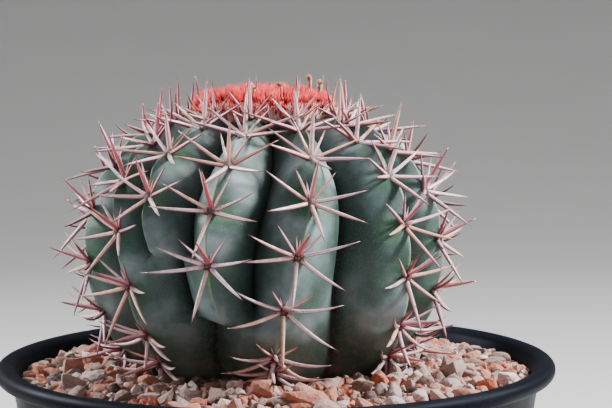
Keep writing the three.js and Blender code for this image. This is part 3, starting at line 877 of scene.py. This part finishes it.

# %% [markdown]
# ## The spines' colours
# A spine is pale above, from lilac to peach, and maroon below, with a darker root, a dark red-brown point and
# faint streaks along it. The lower side of each cluster's central spine is crimson instead. This darker lower
# side is partly the spines' own colour and partly painted shade, for the side turned from the light. Each
# vertex knows how far along the needle and how far round it lies, so ranges of those marks place every
# colour.

# %% Spines: colour along the needle
horn = Finish("spine_horn", 0.3)
along_spine, spine_tone, spine_kind = (horn.attribute(name) for name in ("along", "tone", "kind"))
streaks, _ = horn.speckled(520.0, 900.0)
pale_colours = [(0.1, (0.92, 0.69, 0.8)), (0.6, (0.89, 0.57, 0.62)), (0.92, (0.85, 0.51, 0.4))]
pale = horn.ramp(spine_tone, pale_colours)
# The darker lower side of a spine is partly its own maroon, crimson on the central spine, and partly painted
# shade.
underside_colour_and_shade = horn.mixed(horn.remap(spine_kind, 0.3, 1.0), (0.19, 0.016, 0.03), (0.42, 0.045, 0.085))
shaded = horn.mixed(horn.remap(horn.attribute("under"), 0.32, 0.62, 0.0, 0.95), pale, underside_colour_and_shade)
streaked = horn.mixed(horn.remap(streaks, 0.52, 0.66, 0.0, 0.4), shaded, (0.42, 0.13, 0.1))
rooted = horn.mixed(horn.remap(along_spine, 0.1, 0.0, 0.0, 0.7), streaked, (0.22, 0.04, 0.04))
pointed = horn.mixed(horn.remap(along_spine, 0.7, 0.97, 0.0, 0.9), rooted, (0.16, 0.025, 0.025))
horn.shade("Coat Weight", 0.3)
horn.bump(streaks, 0.0003, 0.3)
spine_material = horn.colour(pointed)
finish_piece(bm, "spines", spine_material, ["cactus_stem_with_spines"])

# %% [markdown]
# ## Felt on the areoles
# Young areoles near the crown are white, and old ones turn rust brown. Each cushion is a squashed ball in the
# notch of its crest, ringed by a few short hairs. A ball alone would look like putty, and hairs alone would
# let the skin show through, so both are there, in one piece with one finish that ages with the height.

# %% Areole felt: finish
felt = Finish("areole_felt", 0.95)
tufts, flecks = felt.speckled(700.0, 1500.0, 0.6)
age = felt.remap(felt.height(), 0.225, 0.264)
brown_felt = felt.ramp(tufts, [(0.35, (0.022, 0.004, 0.004)), (0.65, (0.1, 0.022, 0.016))])
white_felt = felt.ramp(tufts, [(0.35, (0.4, 0.3, 0.25)), (0.65, (0.75, 0.7, 0.64))])
felt.bump(tufts, 0.0008, 0.8)
aged = felt.mixed(felt.times(age, 0.65), brown_felt, white_felt)
felt_material = felt.colour(felt.mixed(felt.times(flecks, 0.4), aged, (0.8, 0.72, 0.7)))

# %% Areole felt: cushions and hairs
HAIRS_PER_AREOLE = 22
hair = needle_template("felt_hair", 3, [(0, 1.0), (0.5, 0.7)])
bm = marked_bmesh()
for areole in areoles:
    turn_frame = Matrix((areole["right"], areole["up"], areole["normal"])).transposed().to_4x4()
    cushion = bmesh.ops.create_icosphere(bm, subdivisions=2, radius=1)["verts"]
    squash = Matrix.Diagonal((2.1, 2.3, 1.25, 1)) @ Matrix.Scale(0.8 if areole["young"] else 1.0, 4)
    settle = Matrix.Translation(PLANT + areole["place"] - areole["normal"] * 0.35) @ turn_frame @ squash
    for vert in cushion:
        vert.co = settle @ (vert.co * draw.uniform(0.86, 1.12))
    for _ in range(HAIRS_PER_AREOLE):
        around_edge = math.radians(draw.uniform(0, 360))
        sideways = areole["right"] * math.sin(around_edge) + areole["up"] * math.cos(around_edge)
        along = (areole["normal"] + sideways * draw.uniform(0.5, 1.6)).normalized()
        root_place = PLANT + areole["place"] + sideways * draw.uniform(1.2, 2.2)
        stamp(bm, hair, needle_matrix(root_place, along, sideways, draw.uniform(1.6, 3.4), 0.16))
finish_piece(bm, "areole_felt", felt_material, ["cactus_stem_with_spines"])

# %% [markdown]
# ## The bristle cap
# When the plant is grown it stops making ribs and builds a cap instead: packed coral-red bristles standing in
# white wool. Under them is a low, steep-sided dome of pith. It hardly shows, but it closes the gaps between
# the bristles, so one outline is spun and given a fuzzy finish, cream at the side and red on top.

# %% Cap: dome
CAP_RADIUS, CAP_BASE, CAP_CORE = 27.6, 101.3, 10.4


def cap_dome(share):
    return CAP_RADIUS * share, CAP_BASE + CAP_CORE * mix(0.55, 1.0, math.sqrt(max(0.0, 1 - share**2)))


dome_outline = [(0, CAP_BASE), (25.5, CAP_BASE), (27.0, CAP_BASE + 1.2), (27.5, CAP_BASE + 3)]
dome_outline += [cap_dome(math.cos(math.radians(6 * i))) for i in range(16)]
dome_outline[-1] = (0, dome_outline[-1][1])
bm = spin_profile(dome_outline, 72, PLANT)
pith = Finish("cap_pith", 0.95)
fuzz, threads = pith.speckled(600.0, 1600.0, 0.6)
pith.bump(fuzz, 0.0012, 0.9)
pith_red = pith.ramp(fuzz, [(0.35, (0.3, 0.02, 0.014)), (0.65, (0.5, 0.07, 0.05))])
pith_cream = pith.ramp(fuzz, [(0.35, (0.45, 0.2, 0.17)), (0.65, (0.8, 0.62, 0.56))])
pith_colour = pith.mixed(pith.remap(pith.height(), 0.2625, 0.2675), pith_cream, pith_red)
pith_material = pith.colour(pith.mixed(pith.times(threads, 0.4), pith_colour, (0.7, 0.52, 0.46)))
finish_piece(bm, "cap_core", pith_material, ["bristle_cap"])

# %% [markdown]
# ## Red bristles
# A hair system would be the usual way, but hair doesn't travel with a model, so the bristles are real needles
# with few faces. They stand in small tufts along a spiral over the dome, which spaces them evenly, upright in
# the middle and leaning out at the rim. The last tufts reach a little way down the side.

# %% Cap: red bristles
TUFTS, BRISTLES_PER_TUFT = 480, 12
GOLDEN_ANGLE = 137.508
SPIRAL_END, SIDE_SHARE = 1.14, 0.14
bristle = needle_template("cap_bristle", 3, [(0, 1.0), (0.6, 0.8)])
bm = marked_bmesh()
for i in range(TUFTS):
    share = math.sqrt((i + 0.5) / TUFTS) * SPIRAL_END
    azimuth = i * GOLDEN_ANGLE + draw.gauss(0, 2)
    on_side = max(0.0, share - 1) / SIDE_SHARE
    radius, z = cap_dome(min(1.0, share))
    lean = math.radians(mix(3, 30, min(1.0, share) ** 3) + 8 * on_side + draw.gauss(0, 4))
    tuft_along = around(azimuth + draw.gauss(0, 6), math.sin(lean), math.cos(lean))
    centre = around(azimuth, radius - 0.3 * on_side, z - 4.4 * on_side) - tuft_along
    tuft_length = draw.uniform(3.0, 6.0)
    tuft_tone = draw.uniform(0.0, 1.0)
    for _ in range(BRISTLES_PER_TUFT):
        spread = Vector((draw.gauss(0, 1), draw.gauss(0, 1), draw.gauss(0, 1)))
        along = (tuft_along + spread * 0.06).normalized()
        length, thick = tuft_length * draw.uniform(0.85, 1.1), draw.uniform(0.3, 0.44)
        matrix = needle_matrix(centre + spread * 0.42, along, around(azimuth, 0.9, 0.1), length, thick)
        tone = min(1.0, max(0.0, tuft_tone + draw.gauss(0, 0.12)))
        stamp(bm, bristle, Matrix.Translation(PLANT) @ matrix, tone=tone, kind=1 - on_side)
print("vertices of the bristles:", len(bm.verts))

# %% Cap: colour of the bristles
coral = Finish("coral_bristle", 0.6)
coral.shade("Specular IOR Level", 0.2)
along_bristle, bristle_tone = coral.attribute("along"), coral.attribute("tone")
red_colours = [(0.0, (0.2, 0.003, 0.005)), (0.4, (0.58, 0.012, 0.018)), (1.0, (0.84, 0.07, 0.075))]
reds = coral.ramp(bristle_tone, red_colours)
lit_tip = coral.mixed(coral.remap(along_bristle, 0.75, 1.0, 0.0, 0.25), reds, (0.86, 0.17, 0.16))
rooted_red = coral.mixed(coral.remap(along_bristle, 0.7, 0.1, 0.0, 0.8), lit_tip, (0.22, 0.006, 0.008))
faded = coral.mixed(coral.remap(coral.attribute("kind"), 0.5, 0.0, 0.0, 0.4), rooted_red, (0.8, 0.4, 0.34))
coral_material = coral.colour(faded)
finish_piece(bm, "cap_bristles", coral_material, ["bristle_cap"])

# %% [markdown]
# ## White wool
# Short white wool fills the steep side below the bristles, and blushes red where it meets them. It could be
# a fuzzy band, but its edge would look cut. So hairs are stamped one by one, at random places and with more
# scatter in their lean than the bristles have.

# %% Cap: wool round its side
WOOL_HAIRS = 2400
bm = marked_bmesh()
for _ in range(WOOL_HAIRS):
    azimuth = draw.uniform(0, 360)
    height = draw.uniform(0, 1) ** 1.1
    lean = math.radians(mix(30, 9, height) + draw.gauss(0, 8))
    along = around(azimuth + draw.gauss(0, 16), math.sin(lean), math.cos(lean)).normalized()
    foot = around(azimuth, mix(26.8, 27.6, height), mix(CAP_BASE + 0.2, CAP_BASE + 5.0, height))
    length, thick = draw.uniform(2.8, 5.4), draw.uniform(0.2, 0.36)
    matrix = needle_matrix(foot - along * 0.8, along, around(azimuth, 1, 0), length, thick)
    stamp(bm, bristle, Matrix.Translation(PLANT) @ matrix, tone=draw.random(), kind=height)
wool = Finish("cap_wool", 0.9)
wool_colours = [(0.0, (0.78, 0.42, 0.38)), (0.3, (0.9, 0.68, 0.62)), (1.0, (0.95, 0.86, 0.82))]
wool_white = wool.ramp(wool.attribute("tone"), wool_colours)
blushing = wool.mixed(wool.remap(wool.attribute("kind"), 0.35, 1.0, 0.0, 0.75), wool_white, (0.78, 0.2, 0.15))
rooted_wool = wool.mixed(wool.remap(wool.attribute("along"), 0.3, 0.0, 0.0, 0.6), blushing, (0.66, 0.3, 0.26))
wool_material = wool.colour(rooted_wool)
finish_piece(bm, "cap_wool", wool_material, ["bristle_cap"])

# %% [markdown]
# ## Dried flowers and a fruit
# After flowering, the dry tube of each flower stays in the cap for months, papery and tan, with a crumpled
# flared end. A pink fruit is just pushing out of the wool. Flat cards would do from one side only, so each is
# turned from a short outline. The flowers are then crumpled and bent, and get a crown of narrow dried petals.

# %% Flowers: husk and seats
husk_colours = [(0.34, (0.12, 0.05, 0.03)), (0.5, (0.42, 0.25, 0.15)), (0.66, (0.72, 0.55, 0.4))]
husk_material = grainy(
    "dry_husk", 0.85, (420.0, 900.0), husk_colours, (0.16, 0.07, 0.04), grain_share=0.7, bump=(0.0006, 0.7)
)
SEAT_DEPTH = 6.0
SOLID_CAP_RADIUS, SOLID_CAP_HEIGHT = 28.8, 12


def seat_height(x, y):
    """Height of a seat that goes SEAT_DEPTH into the solid cap, where the piece's own solid stands."""
    share = math.hypot(x, y) / SOLID_CAP_RADIUS
    dome = SOLID_CAP_HEIGHT * mix(0.62, 1.0, math.sqrt(1 - share**2))
    return CAP_BASE + dome - SEAT_DEPTH + 0.3


print("a seat in the middle of the cap:", round(seat_height(0, 0), 1), "mm above the rim")

# %% Flowers: tubes and petals
FLOWERS = [(19.5, 4, 13.4, -0.8), (23.6, -4, 12.2, -0.6), (7.2, -13, 10.2, -1.2), (-4, -18, 9.2, 1)]
PETALS = 9
petal = needle_template("dry_petal", 4, [(0, 1.0), (0.5, 1.1), (0.85, 0.6)])
for number, (x, y, tall, lean) in enumerate(FLOWERS, 1):
    bm = marked_bmesh()
    free = tall - SEAT_DEPTH
    tube = [(0, 0), (0.95, 0), (0.95, SEAT_DEPTH)]
    for share, radius in ((0.35, 0.85), (0.55, 0.95), (0.76, 1.1), (0.9, 1.0)):
        tube.append((radius, SEAT_DEPTH + share * free))
    tube += [(0.55, tall), (0, tall - 0.2)]
    bm.from_mesh(mesh_from(spin_profile(tube, 14), f"flower_tube_{number}"))
    for vert in bm.verts:
        crumple = noise.noise(vert.co * 1.3 + Vector((number * 7, 0, 0)))
        vert.co.xy *= 1 + 0.7 * crumple * ease(vert.co.z, SEAT_DEPTH, tall)
    for i in range(PETALS):
        azimuth = 360 / PETALS * i
        along = around(azimuth + draw.uniform(-12, 12), draw.uniform(-0.7, 0.2), 1).normalized()
        place = around(azimuth, 1.05, tall - 0.3 * free)
        length = free * draw.uniform(0.18, 0.3)
        stamp(bm, petal, needle_matrix(place, along, around(azimuth, 1, 0), length, 0.34))
    for vert in bm.verts:
        above = max(0.0, vert.co.z - SEAT_DEPTH - 0.2 * free) / free
        vert.co.x += lean * above**2
    bmesh.ops.translate(bm, vec=PLANT + Vector((x, y, seat_height(x, y))), verts=bm.verts)
    finish_piece(bm, f"dry_flower_{number}", husk_material, [f"dried_flower_{number}"])

# %% Fruit
FRUIT_PLACE = (-6, 4)
fruit_outline = [(0, 0), (1.5, 0), (1.85, 3.5), (1.9, 6.5), (1.6, 8.4), (0.9, 9.3), (0, 9.5)]
bm = spin_profile(fruit_outline, 20, PLANT + Vector((*FRUIT_PLACE, seat_height(*FRUIT_PLACE))))
fruit_colours = [(0.3, (0.5, 0.03, 0.1)), (0.7, (0.75, 0.1, 0.22))]
fruit_material = grainy("pink_fruit", 0.35, (260.0, 1200.0), fruit_colours, (0.9, 0.4, 0.5), grain_share=0.3)
finish_piece(bm, "small_fruit", fruit_material, ["fruit"])

# %% [markdown]
# ## The bed of the stones
# The pot is dressed with crushed stone. Between the stones one looks down on a bed of chips and sand, whose
# dark colour is partly painted shade in the gaps. It could be left out, but then holes would show in the
# gaps.
# One outline is spun from the plant to the wall, and noise lifts its top a little, so that no flat disc is
# seen.

# %% Grit bed
wall_here = wall_radius(POT_HEIGHT - 6) - 0.6
bed_outline = [(30, -25.5), (wall_radius(POT_HEIGHT - 25) - 0.6, -25.5), (wall_here, grit_top(wall_here) - 3)]
bed_outline += [(radius, grit_top(radius) - 3) for radius in range(105, 29, -3)] + [(30, -25.5)]
bm = spin_profile(bed_outline, 200)
for vert in bm.verts:
    if vert.co.z > -20:
        vert.co.z += 1.4 * noise.noise(vert.co * 0.35)
bmesh.ops.translate(bm, vec=(0, 0, POT_HEIGHT), verts=bm.verts)
# The bed's dark colours are partly painted shade, for the gaps between the stones.
bed_colours_and_gap_shade = [(0.3, (0.015, 0.009, 0.007)), (0.5, (0.08, 0.045, 0.03)), (0.72, (0.26, 0.16, 0.12))]
bed_material = grainy(
    "grit_bed", 0.95, (240.0, 800.0, 0.8), bed_colours_and_gap_shade, (0.5, 0.36, 0.27), bump=(0.002, 1.0)
)
finish_piece(bm, "grit_bed", bed_material, ["top_grit"])

# %% [markdown]
# ## Stone shapes
# Crushed rock has flat faces and worn edges. A sculpted stone would have far too many faces to repeat, so a
# block is cut by random planes and then bevelled. Twelve such shapes are enough, because each stone gets its
# own size, turn and tone.

# %% Stone shapes
FACETS = 11


def stone_template(seed):
    rng = random.Random(seed)
    bm = marked_bmesh(["tone"])
    bmesh.ops.create_cube(bm, size=1.5)
    for _ in range(FACETS):
        facet = Vector((rng.gauss(0, 1), rng.gauss(0, 1), rng.gauss(0, 1))).normalized()
        geometry = bm.verts[:] + bm.edges[:] + bm.faces[:]
        sliced = bmesh.ops.bisect_plane(
            bm, geom=geometry, plane_co=facet * rng.uniform(0.4, 0.58), plane_no=facet, clear_outer=True
        )["geom_cut"]
        bmesh.ops.holes_fill(bm, edges=only(bmesh.types.BMEdge, sliced), sides=0)
    bmesh.ops.dissolve_degenerate(bm, dist=0.06, edges=bm.edges)
    bmesh.ops.bevel(
        bm, geom=bm.edges[:], offset=0.05, offset_type="OFFSET",
        segments=1, profile=0.5, affect="EDGES", material=-1,
    )
    bmesh.ops.remove_doubles(bm, verts=bm.verts, dist=0.03)
    bmesh.ops.recalc_face_normals(bm, faces=bm.faces)
    return mesh_from(bm, f"stone_{seed}")


stone_shapes = [stone_template(seed) for seed in range(12)]
print("faces of the stone shapes:", [len(mesh.polygons) for mesh in stone_shapes])

# %% [markdown]
# ## Where the stones lie
# The stones are 2 to 9 mm across, with two larger ones. A physics simulation could drop them into the pot,
# but it is slow and hard to repeat. Here the main ones lie evenly along a spiral, each a bit off its place,
# by the rule that the solids follow too. Smaller ones fill what is left, the largest first. A stone is kept
# only if it is clear of the stem, the wall and its neighbours.

# %% Room for a stone
BEARING_STEP, LATITUDE_AT_STONES = 2, -41
CELL_SIZE = 14
WALL_GAP, STEM_GAP, NEIGHBOUR_GAP = 0.66, 0.25, 0.42
skin_radius = []
for bearing in range(0, 360, BEARING_STEP):
    foot, _ = skin_point(bearing, LATITUDE_AT_STONES)
    skin_radius.append(math.hypot(foot.x, foot.y))
placed = []
cells = {}


def try_stone(here, size, proud):
    """Keeps a stone if it is clear of the stem, the wall and its larger neighbours."""
    from_plant = here - Vector((PLANT.x, PLANT.y, 0))
    bearing = math.degrees(math.atan2(from_plant.x, -from_plant.y)) % 360
    stem_here = skin_radius[round(bearing / BEARING_STEP) % len(skin_radius)]
    if from_plant.length < stem_here + size * STEM_GAP:
        return
    if here.length + size * WALL_GAP > wall_radius(POT_HEIGHT - 8):
        return
    column, line = int(here.x // CELL_SIZE), int(here.y // CELL_SIZE)
    close = [other for i in (-1, 0, 1) for j in (-1, 0, 1) for other in cells.get((column + i, line + j), [])]
    if all((here - other[0]).length > NEIGHBOUR_GAP * (size + other[1]) for other in close):
        cells.setdefault((column, line), []).append((here, size))
        placed.append((here, size, proud))


print("skin radius at the stones, in mm:", round(min(skin_radius), 1), "to", round(max(skin_radius), 1))

# %% The main stones
LARGE_STONES = [(14.0, -81.0, 11.5, 4.2), (97.0, 24.0, 8.8, 4.0)]
STONES, STONE_FIELD, STONE_SCATTER = 112, (59.0, 105.0), 5.0


def seeded(seed):
    """A plain stream of numbers from 0 to 1, the same on every machine."""
    state = seed
    while True:
        state = (state * 1664525 + 1013904223) % 4294967296
        yield state / 4294967296


for x, y, size, proud in LARGE_STONES:
    try_stone(Vector((x, y, 0)), size, proud)
stream = seeded(5)
inner, outer = STONE_FIELD
for i in range(STONES):
    radius = math.sqrt(mix(inner**2, outer**2, (i + 0.5) / STONES))
    scatter = Vector((STONE_SCATTER * (next(stream) - 0.5), STONE_SCATTER * (next(stream) - 0.5), 0))
    size, proud = 1.36 * mix(3.8, 6.4, next(stream)), mix(1.6, 3.8, next(stream))
    try_stone(around(i * GOLDEN_ANGLE, radius, 0) + scatter, size, proud)
print("main stones:", len(placed))

# %% The filling stones
# Each row gives the smallest and the largest stone, how many are tried, and how far one may stand proud.
FILLERS = ((4.8, 6.0, 1200, 2.4), (3.9, 4.8, 4000, 1.8), (2.9, 3.9, 9000, 1.2), (2.0, 2.9, 12000, 0.8))
heap = random.Random(9)
for smallest, largest, tries, highest in FILLERS:
    for _ in range(tries):
        here = around(heap.uniform(0, 360), math.sqrt(heap.uniform(48**2, 108**2)), 0)
        try_stone(here, heap.uniform(smallest, largest), heap.uniform(-0.8, highest))
print("stones:", len(placed))

# %% [markdown]
# ## The stones' colours
# Most stones are salmon or tan, with grey and white ones between them and a few that are nearly black. A
# material for each colour would be clumsy. Every stone carries one tone instead, and a ramp turns it into a
# colour. Noise adds pale patches and dark pits. The stones are shared among three pieces, so that each stays
# light enough to handle.

# %% Stones: finish
STONE_COLOURS = [
    (0.0, (0.54, 0.12, 0.04)),
    (0.12, (0.42, 0.13, 0.07)),
    (0.27, (0.46, 0.2, 0.15)),
    (0.42, (0.48, 0.31, 0.27)),
    (0.56, (0.16, 0.1, 0.085)),
    (0.68, (0.36, 0.25, 0.22)),
    (0.81, (0.72, 0.58, 0.55)),
    (0.91, (0.1, 0.055, 0.045)),
    (1.0, (0.03, 0.017, 0.014)),
]
rock = Finish("crushed_stone", 0.88)
clouds, pits = rock.speckled(420.0, 1100.0, 0.7)
body_colour = rock.ramp(rock.attribute("tone"), STONE_COLOURS)
patched = rock.mixed(rock.remap(clouds, 0.42, 0.62, 0.0, 0.22), body_colour, (0.62, 0.47, 0.42))
rock.bump(clouds, 0.0014, 0.9)
rock_material = rock.colour(rock.mixed(rock.times(pits, 0.6), patched, (0.2, 0.1, 0.07)))
print("colours of stone:", len(STONE_COLOURS))

# %% Stones: stamp them into three pieces
PILES = 3
SUNK_SHARE = 0.42
for pile in range(PILES):
    bm = marked_bmesh(["tone"])
    for here, size, proud in placed[pile::PILES]:
        turn_by = Matrix.Rotation(heap.uniform(0, 6), 4, "Z") @ Matrix.Rotation(heap.uniform(0, 6), 4, "X")
        long_way, wide_way = heap.uniform(0.95, 1.3), heap.uniform(0.75, 1.0)
        shape = Matrix.Diagonal((size * long_way, size * wide_way, size * heap.uniform(0.65, 0.9), 1))
        height = POT_HEIGHT + grit_top(here.length) + proud - SUNK_SHARE * size
        template = heap.choice(stone_shapes)
        place = Matrix.Translation((here.x, here.y, height))
        stamp(bm, template, place @ turn_by @ shape, tone=heap.random())
    finish_piece(bm, f"stones_{pile + 1}", rock_material, ["top_grit"])
